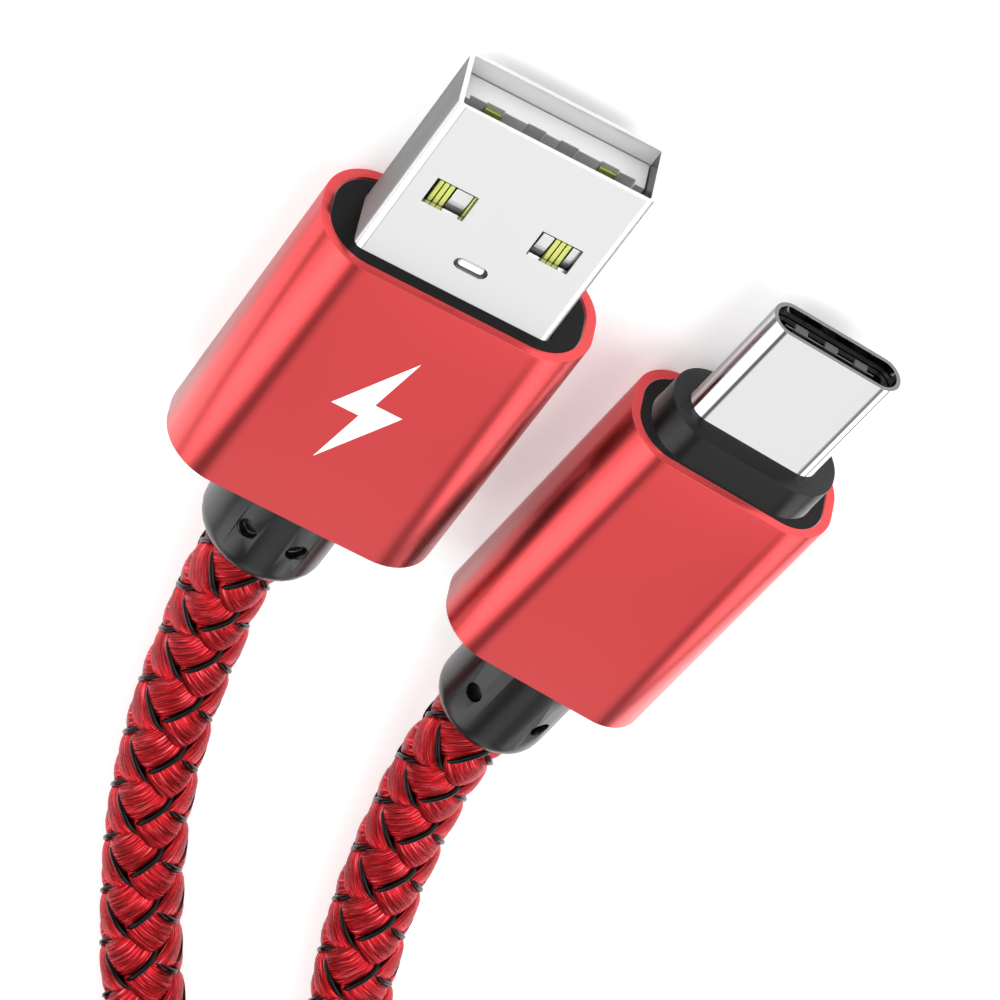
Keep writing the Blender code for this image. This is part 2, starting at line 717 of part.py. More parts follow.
clear_scene()
parts = new_collection("Charging cable")
cutters = new_collection("Cutters", hidden=True)
RED_METAL = material("Red anodised aluminium", (0.6, 0.03, 0.04), 0.35, 0.7)
STEEL = material("Polished steel", (0.75, 0.75, 0.76), 0.15, 1.0)
GOLD = material("Gold plate", (0.75, 0.6, 0.2), 0.25, 1.0)
BLACK_PLASTIC = material("Black plastic", (0.02, 0.02, 0.02), 0.3)
BLACK_RUBBER = material("Black elastomer", (0.025, 0.025, 0.025), 0.35)
WHITE_PLASTIC = material("White plastic", (0.7, 0.7, 0.7), 0.4)
PALE_PLASTIC = material("Pale grey plastic", (0.65, 0.65, 0.65), 0.4)
CARD_GREEN = material("Green solder mask", (0.02, 0.18, 0.06), 0.35)
BRAID = material("Red braid", (0.45, 0.02, 0.03), 0.6)
cord_lead("cable_lead_a", type_a_plug(), A_LENGTH / 2 + A_RELIEF_OUT, LEAD_A_ROUTE)
cord_lead("cable_lead_c", type_c_plug(), C_LENGTH / 2 + C_RELIEF_OUT, LEAD_C_ROUTE)
hank_and_tie()
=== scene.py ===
"""The looks of a charging cable: a flat type-A plug and a small type-C plug on one braided cord.

Every CAD node but the cord has a finer mesh that stands for it, and small details ride along.
The cord is one real braid of eight flat yarns with black tracer threads. It runs from one strain
relief to the other by way of a tied hank. Lengths are in metres unless a comment says otherwise.
"""

from math import cos, pi, radians, sin

import bmesh
import bpy
import numpy as np
from mathutils import Matrix, Vector


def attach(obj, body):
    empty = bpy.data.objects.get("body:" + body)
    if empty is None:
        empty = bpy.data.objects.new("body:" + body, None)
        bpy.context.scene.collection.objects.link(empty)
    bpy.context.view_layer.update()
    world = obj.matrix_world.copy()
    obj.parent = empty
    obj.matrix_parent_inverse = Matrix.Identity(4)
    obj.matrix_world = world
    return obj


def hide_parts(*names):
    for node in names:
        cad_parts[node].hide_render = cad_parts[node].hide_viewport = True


MM = 0.001

# Camera.
CAMERA_PLACE = (0.08898, -0.29172, 0.32605)
CAMERA_RIGHT = (-0.8717, -0.4637, -0.1586)
CAMERA_UP = (0.4376, -0.5908, -0.6779)
CAMERA_BACK = (0.2206, -0.6603, 0.7179)
CAMERA_LENS, CAMERA_SENSOR = 291.0, 36.0  # millimetres

# Cord: its facts, its ends inside the strain reliefs, and the leads from there to the hank.
CORD_REST = 0.00255  # height of its middle where it lies on the table
SEAT_A = [(0.0, 0.0116, 0.0039), (0.0, 0.0161, 0.0039)]
SEAT_C = [(-0.01734, 0.01636, 0.0036), (-0.01700, 0.02085, 0.0036)]
LEAD_A = [
    (-0.0001, 0.0184, 0.00375),
    (-0.0006, 0.0218, 0.0031),
    (-0.0014, 0.0256, 0.0026),
    (-0.0027, 0.0319, CORD_REST),
    (-0.0054, 0.0407, CORD_REST),
    (-0.0094, 0.0498, CORD_REST),
    (-0.0124, 0.0554, CORD_REST),
    (-0.0160, 0.0613, CORD_REST),
    (-0.0190, 0.0663, CORD_REST),
    (-0.0219, 0.0718, CORD_REST),
    (-0.0241, 0.0776, CORD_REST),
    (-0.0252, 0.0837, CORD_REST),
]
LEAD_C = [
    (-0.0170, 0.0231, 0.0035),
    (-0.0173, 0.0266, 0.0029),
    (-0.0180, 0.0310, CORD_REST),
    (-0.0192, 0.0372, CORD_REST),
    (-0.0208, 0.0432, CORD_REST),
    (-0.0228, 0.0486, CORD_REST),
    (-0.0253, 0.0549, CORD_REST),
    (-0.0279, 0.0620, CORD_REST),
    (-0.0296, 0.0685, CORD_REST),
    (-0.0302, 0.0740, CORD_REST),
    (-0.0304, 0.0810, CORD_REST),
]
ROUTE_STEP = 0.0005  # between the points of the finished route
SPAN_POINTS = 24  # points that measure the curve between two of the route's own

# Hank: its folds lie round two centres, with runs between them, on three levels.
HANK_X, HANK_NEAR, HANK_FAR = -0.0105, 0.0900, 0.1355
FOLD_INNER, FOLD_OUTER = 0.015, 0.020
FOLD_STEP = 9  # degrees between the points of a fold
FOLD_RISE, FOLD_FALL = (-10, -140), (265, 350)  # degrees where a fold changes its level
RUN_SHARES = (0.14, 0.28, 0.42, 0.56, 0.7, 0.84)  # where a run's points lie between its ends
CROSSING_RISE = 0.85  # share of the run between two levels after which it is on the new one
LAYER = 0.00502
LEVELS = (CORD_REST, CORD_REST + LAYER, CORD_REST + 2 * LAYER)
TIE_Y, TIE_LIFT, TIE_REACH = 0.119, 0.00115, 0.016
TIED_SIDE = HANK_X - FOLD_INNER + 0.001  # the strap holds the runs whose x is below this

# Braid: four yarns each way round, each with a black tracer thread along one edge.
PITCH = 0.0178
OVER_UNDER = PITCH / 4  # the length along the cord in which a yarn goes over once and under once
YARN_HALF, YARN_CROWN, YARN_UNDER = 0.00120, 0.00024, 0.00014
YARN_POINTS, YARN_ROUNDNESS, YARN_UNDER_SHARE = 7, 2.4, 0.75
YARN_GROOVES = 0.00010  # depth of the bump between its fibres
WEAVE_RADIUS, WEAVE_WAVE, WEAVE_FLATNESS = 0.00204, 0.00023, 2.0  # how yarns go over and under
TRACER_RADIUS, TRACER_ACROSS, TRACER_OUT = 0.00016, -YARN_HALF - 0.00010, 0.00009
BRAID_TURN = radians(16)  # turns the pattern round the cord to where the photograph has it
YARN_FIBRES = ((7.0, 0.35, 2.0), (24.0, 0.9, 1.0))  # noise scale across and along, and detail
YARN_STREAKS = (  # painted in the colour: shade in the grooves between the fibres, the yarn's red, and glints on them
    (0.36, (0.07, 0.001, 0.001)),
    (0.49, (0.50, 0.004, 0.008)),
    (0.58, (0.95, 0.030, 0.050)),
    (0.66, (1.0, 0.34, 0.40)),
)
YARN_PAINTED_SHADE = (  # painted shade along a yarn, from where it dives under another to the top of its crown
    (0.0, (0.10, 0.08, 0.08)),
    (0.35, (0.60, 0.60, 0.60)),
    (0.62, (1.0, 1.0, 1.0)),
    (0.90, (0.60, 0.40, 0.40)),
    (1.0, (0.45, 0.25, 0.25)),
)
CORE_RADIUS, CORE_STEP, CORE_SIDES = 0.0017, 0.0012, 10  # what is inside the braid
FINE_STEP, COARSE_STEP, FINE_LENGTH = 0.00025, 0.0006, 0.085  # sections of its yarns

TYPE_C_PLACE, TYPE_C_YAW = (-0.0183, 0.0036, 0.0036), radians(-4.3)
TYPE_C_MOUTH = -20.0  # from the middle of the type-C housing, in millimetres

# The printed mark on the type-A housing, in millimetres: its middle and one half of its outline.
MARK_PLACE, MARK_HEIGHT = (0.3, -0.5), 7.81
MARK_HALF = ((0.9, 4.8), (-1.9, -0.6), (-0.2, -0.6))

# What shows through the type-A windows, in millimetres.
WINDOW_NEAR, WINDOW_FAR, WINDOW_UNDER, WINDOW_TOP = -15.9, -13.8, 4.6, 5.80
RIBS = {"vbus": (4.05, 3.71, 3.37, 1.93), "gnd": (-3.08, -3.42, -3.76)}
RIB_HALF = 0.14
BEDS, BED_NEAR, BED_TOP = ((1.6, 4.6), (-4.8, -1.8)), WINDOW_NEAR - 0.5, WINDOW_TOP - 0.55
LEAVES = ((2.12, 3.14), (-2.84, -2.14), (-4.48, -3.98))
LEAF_BEND, LEAF_STEPS, LEAF_DROP, LEAF_THICK = -15.6, 8, 0.40, 0.2

# The peg in the type-A slot, the pads in the type-C mouth and the strap's end, likewise.
SLOT_PEG = ((-0.78, -11.87, 5.3), (0.78, -11.33, 6.12))
PAD_PLACES, PAD_HALF, PAD_HEIGHTS, PAD_DEPTHS = (-1.95, 0, 1.95), 0.43, (0.20, 0.80), (0.72, 1.5)
STRAP_END = ((-33.2, 113.9, 12.15), (-25.2, 124.1, 12.8))

# Meshes: what is welded, what counts as flat, and which edges are shaded or made round.
WELD, FLAT = 2e-6, radians(0.6)
SMOOTH_ANGLE, ROUND_ANGLE = radians(35), radians(38)

# Brightness of the tent from one side to the other, as (position across, value).
WORLD_BANDS = (
    (0.0, 0.3),
    (0.11, 1.3),
    (0.19, 1.3),
    (0.24, 0.12),
    (0.29, 0.16),
    (0.34, 0.62),
    (0.47, 0.62),
    (0.52, 0.10),
    (0.61, 0.08),
    (0.69, 1.3),
    (0.84, 1.5),
    (1.0, 0.5),
)
# The heights between which the tent goes from its strength below to its strength above.
WORLD_HORIZON = {"From Min": 0.06, "From Max": 0.24, "To Min": 0.12, "To Max": 1.65}
KEY = {"place": (-0.42, -0.12, 0.62), "aim": (-0.01, 0.02, 0), "size": 0.6, "power": 3.0}
FLOOR_HALF = 3.0


# ---------------------------------------------------------------- shader helpers


def nodes_of(name):
    """A new material, its node tree and its Principled shader."""
    made = bpy.data.materials.new(name)
    made.use_nodes = True
    tree = made.node_tree
    return made, tree, tree.nodes["Principled BSDF"]


def finish_of(name, colour, roughness, metallic=0.0, **uniform):
    """A Principled material. Further values go on the sockets that they name."""
    made, tree, shader = nodes_of(name)
    shader.inputs["Base Color"].default_value = (*colour, 1)
    shader.inputs["Roughness"].default_value = roughness
    shader.inputs["Metallic"].default_value = metallic
    for key, value in uniform.items():
        shader.inputs[key.replace("_", " ")].default_value = value
    return made


def node(tree, kind, **values):
    """A new shader node. Each value goes on the socket of that name, or else is a setting."""
    made = tree.nodes.new(kind)
    for key, value in values.items():
        if key in made.inputs:
            made.inputs[key].default_value = value
        else:
            setattr(made, key, value)
    return made


def ramp_of(tree, factor, stops):
    """A colour ramp's output. stops holds (position, colour) pairs."""
    ramp = node(tree, "ShaderNodeValToRGB")
    for position, _ in stops[2:]:
        ramp.color_ramp.elements.new(position)
    for element, (position, colour) in zip(ramp.color_ramp.elements, stops):
        element.position = position
        element.color = (*colour, 1)
    tree.links.new(factor, ramp.inputs["Fac"])
    return ramp.outputs["Color"]


def grain(made, scale, strength, distance):
    """Fine bumps from noise in object space."""
    tree = made.node_tree
    place = node(tree, "ShaderNodeTexCoord")
    noise = node(tree, "ShaderNodeTexNoise", Scale=scale, Detail=2.0)
    bump = node(tree, "ShaderNodeBump", Strength=strength, Distance=distance)
    tree.links.new(place.outputs["Object"], noise.inputs["Vector"])
    tree.links.new(noise.outputs["Fac"], bump.inputs["Height"])
    tree.links.new(bump.outputs["Normal"], tree.nodes["Principled BSDF"].inputs["Normal"])
    return made


def mottled(made, scale, low, high):
    """Base colour that drifts between two colours."""
    tree = made.node_tree
    place = node(tree, "ShaderNodeTexCoord")
    noise = node(tree, "ShaderNodeTexNoise", Scale=scale, Detail=3.0)
    mix = node(tree, "ShaderNodeMix", data_type="RGBA")
    mix.inputs["A"].default_value = (*low, 1)
    mix.inputs["B"].default_value = (*high, 1)
    tree.links.new(place.outputs["Object"], noise.inputs["Vector"])
    tree.links.new(noise.outputs["Fac"], mix.inputs["Factor"])
    shader = tree.nodes["Principled BSDF"]
    tree.links.new(mix.outputs["Result"], shader.inputs["Base Color"])
    return made


def painted_shade_by_facing(made, low, high, start, stop, mouth=0.0):
    """Painted shade: base colour from low to high as a face turns up, or towards the mouth by a
    share.

    It is low up to start and high from stop, where 1 is a face that looks straight up.
    """
    tree = made.node_tree
    place = node(tree, "ShaderNodeTexCoord")
    split = node(tree, "ShaderNodeSeparateXYZ")
    tree.links.new(place.outputs["Normal"], split.inputs[0])
    towards_mouth = node(tree, "ShaderNodeMath", operation="MULTIPLY")
    towards_mouth.inputs[1].default_value = -mouth
    tree.links.new(split.outputs["Y"], towards_mouth.inputs[0])
    most = node(tree, "ShaderNodeMath", operation="MAXIMUM")
    tree.links.new(split.outputs["Z"], most.inputs[0])
    tree.links.new(towards_mouth.outputs[0], most.inputs[1])
    # painted shade: how far the face turns up, or towards the mouth
    depth = node(tree, "ShaderNodeMapRange", interpolation_type="SMOOTHSTEP")
    depth.inputs["From Min"].default_value = start
    depth.inputs["From Max"].default_value = stop
    tree.links.new(most.outputs[0], depth.inputs["Value"])
    mix = node(tree, "ShaderNodeMix", data_type="RGBA")
    mix.inputs["A"].default_value = (*low, 1)
    mix.inputs["B"].default_value = (*high, 1)
    tree.links.new(depth.outputs["Result"], mix.inputs["Factor"])
    tree.links.new(mix.outputs["Result"], tree.nodes["Principled BSDF"].inputs["Base Color"])
    return made


def yarn_material():
    """Shiny fibres: streaks along the yarn in colour and in height, shaded by how high it lies.

    The colour's streaks hold painted glints and painted shade, and its shading by height is painted
    shade.
    """
    made, tree, shader = nodes_of("Red yarn")
    shader.inputs["Roughness"].default_value = 0.24
    shader.inputs["Metallic"].default_value = 0.55
    shader.inputs["Specular IOR Level"].default_value = 0.35
    shader.inputs["Specular Tint"].default_value = (1.0, 0.5, 0.55, 1)
    strand = node(tree, "ShaderNodeUVMap", uv_map="strand")
    heights = []
    for across, along, fineness in YARN_FIBRES:
        mapping = node(tree, "ShaderNodeMapping")
        mapping.inputs["Scale"].default_value = (along, across, 1)
        noise = node(tree, "ShaderNodeTexNoise", Scale=1.0, Detail=fineness)
        tree.links.new(strand.outputs["UV"], mapping.inputs["Vector"])
        tree.links.new(mapping.outputs["Vector"], noise.inputs["Vector"])
        heights.append(noise.outputs["Fac"])
    total = node(tree, "ShaderNodeMath", operation="ADD")
    tree.links.new(heights[0], total.inputs[0])
    tree.links.new(heights[1], total.inputs[1])
    bump = node(tree, "ShaderNodeBump", Strength=1.0, Distance=YARN_GROOVES)
    tree.links.new(total.outputs[0], bump.inputs["Height"])
    tree.links.new(bump.outputs["Normal"], shader.inputs["Normal"])
    half = node(tree, "ShaderNodeMath", operation="MULTIPLY")
    half.inputs[1].default_value = 0.5
    tree.links.new(total.outputs[0], half.inputs[0])
    # painted shade in the grooves and painted glints on the fibres
    streaks = ramp_of(tree, half.outputs[0], YARN_STREAKS)
    crown = node(tree, "ShaderNodeUVMap", uv_map="crown")
    split = node(tree, "ShaderNodeSeparateXYZ")
    tree.links.new(crown.outputs["UV"], split.inputs[0])
    # painted shade: dark where the yarn dives under another, lighter towards its crown
    shade = ramp_of(tree, split.outputs["X"], YARN_PAINTED_SHADE)
    mix = node(tree, "ShaderNodeMix", data_type="RGBA", blend_type="MULTIPLY")
    mix.inputs["Factor"].default_value = 1.0
    tree.links.new(streaks, mix.inputs["A"])
    tree.links.new(shade, mix.inputs["B"])
    tree.links.new(mix.outputs["Result"], shader.inputs["Base Color"])
    return made


# ---------------------------------------------------------------- mesh helpers


def linked(name, mesh, paint):
    """An object in the scene with one material."""
    made = bpy.data.objects.new(name, mesh)
    bpy.context.scene.collection.objects.link(made)
    mesh.materials.clear()
    mesh.materials.append(paint)
    return made


def smooth(mesh):
    """Smooth shading with sharp edges where the mesh turns."""
    mesh.shade_smooth()
    mesh.set_sharp_from_angle(angle=SMOOTH_ANGLE)


def soften(thing, width, segments=2):
    """Rounds the object's sharp edges."""
    bevel = thing.modifiers.new("Soft edges", "BEVEL")
    bevel.width = width
    bevel.segments = segments
    bevel.limit_method = "ANGLE"
    bevel.angle_limit = ROUND_ANGLE
    bevel.harden_normals = True
    return thing


def refined(node_name, paint, edge=0.0):
    """A softened, smooth copy of a CAD node that is shown in its place."""
    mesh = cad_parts[node_name].data.copy()
    work = bmesh.new()
    work.from_mesh(mesh)
    bmesh.ops.remove_doubles(work, verts=work.verts, dist=WELD)
    bmesh.ops.dissolve_limit(work, angle_limit=FLAT, verts=work.verts, edges=work.edges)
    work.to_mesh(mesh)
    work.free()
    if mesh.has_custom_normals:  # zeros bring the mesh's own normals back
        mesh.normals_split_custom_set([(0, 0, 0)] * len(mesh.loops))
    smooth(mesh)
    made = linked(f"fine_{node_name}", mesh, paint)
    if edge:
        soften(made, edge)
    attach(made, "root")
    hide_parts(node_name)
    return made


# ---------------------------------------------------------------- the cord's route


def smoothstep(t):
    """0 up to 0, 1 from 1, and a smooth rise in between."""
    t = min(1.0, max(0.0, t))
    return t * t * (3 - 2 * t)


def fold(centre_y, radius, start, stop, first, last, between=(0, 360)):
    """An arc of the hank, in degrees. It goes from one level to the other between two angles."""
    count = max(2, round(abs(stop - start) / FOLD_STEP))
    begin, end = between
    points = []
    for k in range(count + 1):
        angle = start + (stop - start) * k / count
        z = first + (last - first) * smoothstep((angle - begin) / (end - begin))
        x = HANK_X + radius * cos(radians(angle))
        points.append((x, centre_y + radius * sin(radians(angle)), z))
    return points


def run(start, stop, rise=1.0):
    """The points between two ends of a straight run. Its rise is over by that share of the run."""
    (x0, y0, z0), (x1, y1, z1) = start, stop
    return [
        (x0 + (x1 - x0) * t, y0 + (y1 - y0) * t, z0 + (z1 - z0) * smoothstep(t / rise))
        for t in RUN_SHARES
    ]


def hank_route():
    """Two inner turns, a run that crosses over the top, and two outer turns the other way round."""
    one, two, three = LEVELS
    # The run that crosses over is the inner tangent of the two folds that it joins.
    cross = 90 - np.degrees(np.arccos((FOLD_INNER + FOLD_OUTER) / (HANK_FAR - HANK_NEAR)))
    folds = [
        fold(HANK_FAR, FOLD_INNER, 180, 0, one, one),
        fold(HANK_NEAR, FOLD_INNER, 0, -180, one, two, FOLD_RISE),
        fold(HANK_FAR, FOLD_INNER, 180, -cross, two, two),
        fold(HANK_NEAR, FOLD_OUTER, 180 - cross, 360, three, two, FOLD_FALL),
        fold(HANK_FAR, FOLD_OUTER, 0, 180, two, two),
        fold(HANK_NEAR, FOLD_OUTER, 180, 360, two, one, FOLD_FALL),
        fold(HANK_FAR, FOLD_OUTER, 0, 180, one, one),
    ]
    start = (HANK_X - FOLD_INNER, HANK_NEAR, one)
    stop = (HANK_X - FOLD_OUTER, HANK_NEAR, one)
    route = [start]
    for arc in folds:
        crossing = abs(arc[0][2] - route[-1][2]) > LAYER / 2
        route += run(route[-1], arc[0], CROSSING_RISE if crossing else 1.0) + arc
    route += run(route[-1], stop) + [stop]
    return [lifted(point) for point in route]


def lifted(point):
    """The strap lies under the tied side of the hank, so the cord rises over it."""
    x, y, z = point
    away = abs(y - TIE_Y) / TIE_REACH
    if x < TIED_SIDE and away < 1:
        z += TIE_LIFT * cos(pi / 2 * away) ** 2
    return (x, y, z)


def catmull_rom(points, spacing):
    """Points a fixed distance apart on a smooth curve through the given ones."""
    points = np.array(points)
    before, after = 2 * points[0] - points[1], 2 * points[-1] - points[-2]
    ways = np.vstack([before, points, after])
    t = np.linspace(0, 1, SPAN_POINTS, endpoint=False)[:, None]
    fine = [
        0.5
        * (
            2 * b
            + (c - a) * t
            + (2 * a - 5 * b + 4 * c - d) * t**2
            + (3 * b - a - 3 * c + d) * t**3
        )
        for a, b, c, d in zip(ways, ways[1:], ways[2:], ways[3:])
    ]
    fine = np.vstack([*fine, ways[-2:-1]])
    walked = np.concatenate([[0], np.cumsum(np.linalg.norm(np.diff(fine, axis=0), axis=1))])
    even = np.linspace(0, walked[-1], round(walked[-1] / spacing) + 1)
    return np.column_stack([np.interp(even, walked, fine[:, k]) for k in range(3)]), even


class Line:
    """A centreline with a frame along it that turns with the curve and doesn't twist."""

    def __init__(self, points, distance):
        self.distance, self.points = distance, points
        ahead = np.gradient(points, axis=0)
        self.ahead = ahead / np.linalg.norm(ahead, axis=1, keepdims=True)
        up = np.zeros_like(points)
        last = np.array([0.0, 0.0, 1.0])
        for k, along in enumerate(self.ahead):
            last = last - along * last.dot(along)
            last /= np.linalg.norm(last)
            up[k] = last
        self.up = up
        self.side = np.cross(self.ahead, up)

    def at(self, distance, angle, radius):
        """Points in space from distance along, angle round and radius out."""

        def look_up(rows):
            return np.stack([np.interp(distance, self.distance, r) for r in rows.T], axis=-1)

        out = look_up(self.up) * np.cos(angle)[..., None]
        out = out + look_up(self.side) * np.sin(angle)[..., None]
        return look_up(self.points) + out * np.asarray(radius)[..., None]


# ---------------------------------------------------------------- the braid


def wave(distance):
    """+1 where the yarns of one direction lie on top, -1 where those of the other do."""
    turned = np.cos(2 * pi * distance / OVER_UNDER)
    return np.tanh(WEAVE_FLATNESS * turned) / np.tanh(WEAVE_FLATNESS)


def strand(line, steps, turn, quarter, section):
    """One yarn or thread: its points, their UVs, and how near its crown each one lies.

    turn is its way round, 1 or -1, and quarter its place among the four that go that way.
    section is a closed loop of (across, out) about its own middle.
    """
    lean = np.arctan(2 * pi * WEAVE_RADIUS / PITCH)
    across, out = section[:, 0][None, :], section[:, 1][None, :]
    distance = steps[:, None] - turn * across * sin(lean)
    distance = np.clip(distance, 0, line.distance[-1])
    angle = turn * 2 * pi * steps[:, None] / PITCH + quarter * pi / 2 + BRAID_TURN
    angle = angle + across * cos(lean) / WEAVE_RADIUS
    radius = WEAVE_RADIUS + turn * WEAVE_WAVE * wave(steps)[:, None] + out
    places = line.at(distance, angle, radius)
    along = steps[:, None] / cos(lean) / MM + 0 * across
    uv = np.stack([along, across / MM + 10 * quarter + 50 * turn + 0 * along], axis=-1)
    height = 0.5 + 0.5 * turn * np.cos(2 * pi * steps[:, None] / OVER_UNDER) + 0 * across
    return places, uv, np.stack([height, 0 * height], axis=-1)


def grid_mesh(name, grids, paint):
    """A mesh from what strand() gives for each of several strands."""
    vertices, faces, uvs, crowns, base = [], [], [], [], 0
    for places, uv, crown in grids:
        rows, columns = places.shape[:2]
        index = base + np.arange(rows * columns).reshape(rows, columns)
        beside = np.roll(index, -1, axis=1)
        quads = np.stack([index[:-1], beside[:-1], beside[1:], index[1:]], axis=-1)
        vertices.append(places.reshape(-1, 3))
        uvs.append(uv.reshape(-1, 2))
        crowns.append(crown.reshape(-1, 2))
        faces.append(quads.reshape(-1, 4))
        base += rows * columns
    vertices, faces = np.vstack(vertices), np.vstack(faces)
    mesh = bpy.data.meshes.new(name)
    mesh.from_pydata(vertices.tolist(), [], faces.tolist())
    for layer_name, values in (("strand", np.vstack(uvs)), ("crown", np.vstack(crowns))):
        layer = mesh.uv_layers.new(name=layer_name)
        layer.data.foreach_set("uv", values[faces.reshape(-1)].astype(np.float32).reshape(-1))
    mesh.shade_smooth()
    return linked(name, mesh, paint)


def steps_along(length, fine_until):
    """Sections close together near the plug and further apart in the hank."""
    near = np.arange(0, fine_until, FINE_STEP)
    far = np.linspace(fine_until, length, round((length - fine_until) / COARSE_STEP))
    return np.concatenate([near, far])


def yarn_section():
    """A flat yarn's section: a crowned top and a narrower, flat underside."""
    across = np.linspace(-1, 1, YARN_POINTS)
    top = np.column_stack([across * YARN_HALF, YARN_CROWN * (1 - np.abs(across) ** YARN_ROUNDNESS)])
    under = [(side * YARN_UNDER_SHARE * YARN_HALF, -YARN_UNDER) for side in (1, -1)]
    return np.vstack([top, under])[::-1]


def round_section(radius, across, out, sides=6):
    """A thread's section, with its middle at (across, out)."""
    angles = 2 * pi * np.arange(sides) / sides
    return np.column_stack([across + radius * np.cos(angles), out + radius * np.sin(angles)])


def braid(centre, distance):
    """Both halves of the braid, each laid from its own plug, meeting under the tie."""
    on_tie = np.abs(centre - (HANK_X - FOLD_INNER, TIE_Y, LEVELS[1] + TIE_LIFT)).sum(axis=1)
    split = int(np.argmin(on_tie))
    halves = [
        Line(centre[: split + 1], distance[: split + 1]),
        Line(centre[split:][::-1], (distance[-1] - distance[split:])[::-1]),
    ]
    yarn, thread = yarn_section(), round_section(TRACER_RADIUS, TRACER_ACROSS, TRACER_OUT)
    grids = {"one_way": [], "other_way": [], "tracers": []}
    for half in halves:
        steps = steps_along(half.distance[-1], FINE_LENGTH)
        for quarter in range(4):
            grids["one_way"].append(strand(half, steps, 1, quarter, yarn))
            grids["other_way"].append(strand(half, steps, -1, quarter, yarn))
            for turn in (1, -1):
                grids["tracers"].append(strand(half, steps, turn, quarter, thread))
        core = np.arange(0, half.distance[-1], CORE_STEP)
        angles = 2 * pi * np.arange(CORE_SIDES)[None, :] / CORE_SIDES + 0 * core[:, None]
        places = half.at(core[:, None] + 0 * angles, angles, CORE_RADIUS + 0 * angles)
        blank = np.zeros(places.shape[:2] + (2,))
        grids["one_way"].append((places, blank, blank))
    yarns = grid_mesh("cord_braid", grids["one_way"], YARN)
    crossing = grid_mesh("cord_braid_crossing", grids["other_way"], YARN)
    tracers = grid_mesh("cord_tracers", grids["tracers"], TRACER)
    for thing in (yarns, crossing, tracers):
        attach(thing, "root")
    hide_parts("cable_lead_a", "cable_lead_c", "cable_hank")


# ---------------------------------------------------------------- small details


def block(work, low, high):
    """Adds a box between two corners, in millimetres, to a bmesh."""
    made = bmesh.ops.create_cube(work, size=1.0)
    for vertex in made["verts"]:
        shares = vertex.co + Vector((0.5, 0.5, 0.5))
        vertex.co = Vector(l + (h - l) * share for l, h, share in zip(low, high, shares)) * MM


def detail(name, boxes, paint, edge):
    """Boxes with round edges, in one piece with one material."""
    work = bmesh.new()
    for low, high in boxes:
        block(work, low, high)
    mesh = bpy.data.meshes.new(name)
    work.to_mesh(mesh)
    work.free()
    made = linked(name, mesh, paint)
    smooth(mesh)
    soften(made, edge, segments=3)
    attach(made, "root")
    return made


def window_details():
    """What shows through the type-A shell's two windows and its slot."""
    for contact, places in RIBS.items():
        ribs = []
        for x in places:
            low = (x - RIB_HALF, WINDOW_NEAR, WINDOW_UNDER)
            ribs.append((low, (x + RIB_HALF, WINDOW_FAR, WINDOW_TOP)))
        detail(f"rib_{contact}", ribs, GOLD, edge=0.00008)
    beds = []
    for left, right in BEDS:
        beds.append(((left, BED_NEAR, WINDOW_UNDER), (right, WINDOW_FAR, BED_TOP)))
    detail("window_beds", beds, BLACK, edge=0.00002)
    shell_leaves()
    detail("slot_peg", [SLOT_PEG], PALE, edge=0.00022)


def shell_leaves():
    """Spring leaves of the shell, flat at first and then curving down."""
    curve = []
    for k in range(LEAF_STEPS + 1):
        y = LEAF_BEND + (WINDOW_FAR - LEAF_BEND) * k / LEAF_STEPS
        curve.append((y, WINDOW_TOP - LEAF_DROP * (k / LEAF_STEPS) ** 2))
    under = WINDOW_TOP - LEAF_DROP - LEAF_THICK
    outline = [(WINDOW_NEAR, WINDOW_TOP), *curve, (WINDOW_FAR, under), (WINDOW_NEAR, under)]
    count = len(outline)
    vertices, faces = [], []
    for left, right in LEAVES:
        base = len(vertices)
        vertices += [(x * MM, y * MM, z * MM) for x in (left, right) for y, z in outline]
        faces.append([base + k for k in range(count)])
        faces.append([base + count + k for k in reversed(range(count))])
        for k in range(count):
            after = (k + 1) % count
            faces.append([base + after, base + k, base + count + k, base + count + after])
    mesh = bpy.data.meshes.new("shell_leaves")
    mesh.from_pydata(vertices, [], faces)
    made = linked("shell_leaves", mesh, PLATE)
    smooth(mesh)
    soften(made, 0.00005)
    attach(made, "root")


def spring_pads():
    """The pads of the ground springs, above and below, in the type-C mouth."""
    front, back = (TYPE_C_MOUTH + depth for depth in PAD_DEPTHS)
    inner, outer = PAD_HEIGHTS
    pads = []
    for x in PAD_PLACES:
        for low, high in ((-outer, -inner), (inner, outer)):
            pads.append(((x - PAD_HALF, front, low), (x + PAD_HALF, back, high)))
    made = detail("spring_pads", pads, DULL_STEEL, edge=0.00008)
    made.visible_glossy = False
    made.matrix_world = Matrix.Translation(TYPE_C_PLACE) @ Matrix.Rotation(TYPE_C_YAW, 4, "Z")


def strap_end():
    """The end of the strap, pressed down on its top."""
    detail("strap_end", [STRAP_END], STRAP, edge=0.00025)


def printed_mark():
    """A plain white bolt printed on the top of the type-A housing."""
    outline = [*MARK_HALF, *((-x, -y) for x, y in MARK_HALF)]
    middle_x, middle_y = MARK_PLACE
    corners = [(MM * (middle_x - x), MM * (middle_y - y), MM * MARK_HEIGHT) for x, y in outline]
    mesh = bpy.data.meshes.new("printed_mark")
    mesh.from_pydata(corners, [], [tuple(range(len(corners)))])
    made = linked("printed_mark", mesh, PRINT)
    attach(made, "root")


# ---------------------------------------------------------------- the camera


def add_camera():
    """The photograph's view."""
    data = bpy.data.cameras.new("Camera")
    data.lens, data.sensor_width = CAMERA_LENS, CAMERA_SENSOR
    data.clip_start, data.clip_end = 0.01, 10
    camera = bpy.data.objects.new("Camera", data)
    bpy.context.scene.collection.objects.link(camera)
    axes = Matrix((CAMERA_RIGHT, CAMERA_UP, CAMERA_BACK)).transposed()
    camera.matrix_world = Matrix.Translation(CAMERA_PLACE) @ axes.to_4x4()
    bpy.context.scene.camera = camera


# ---------------------------------------------------------------- the studio


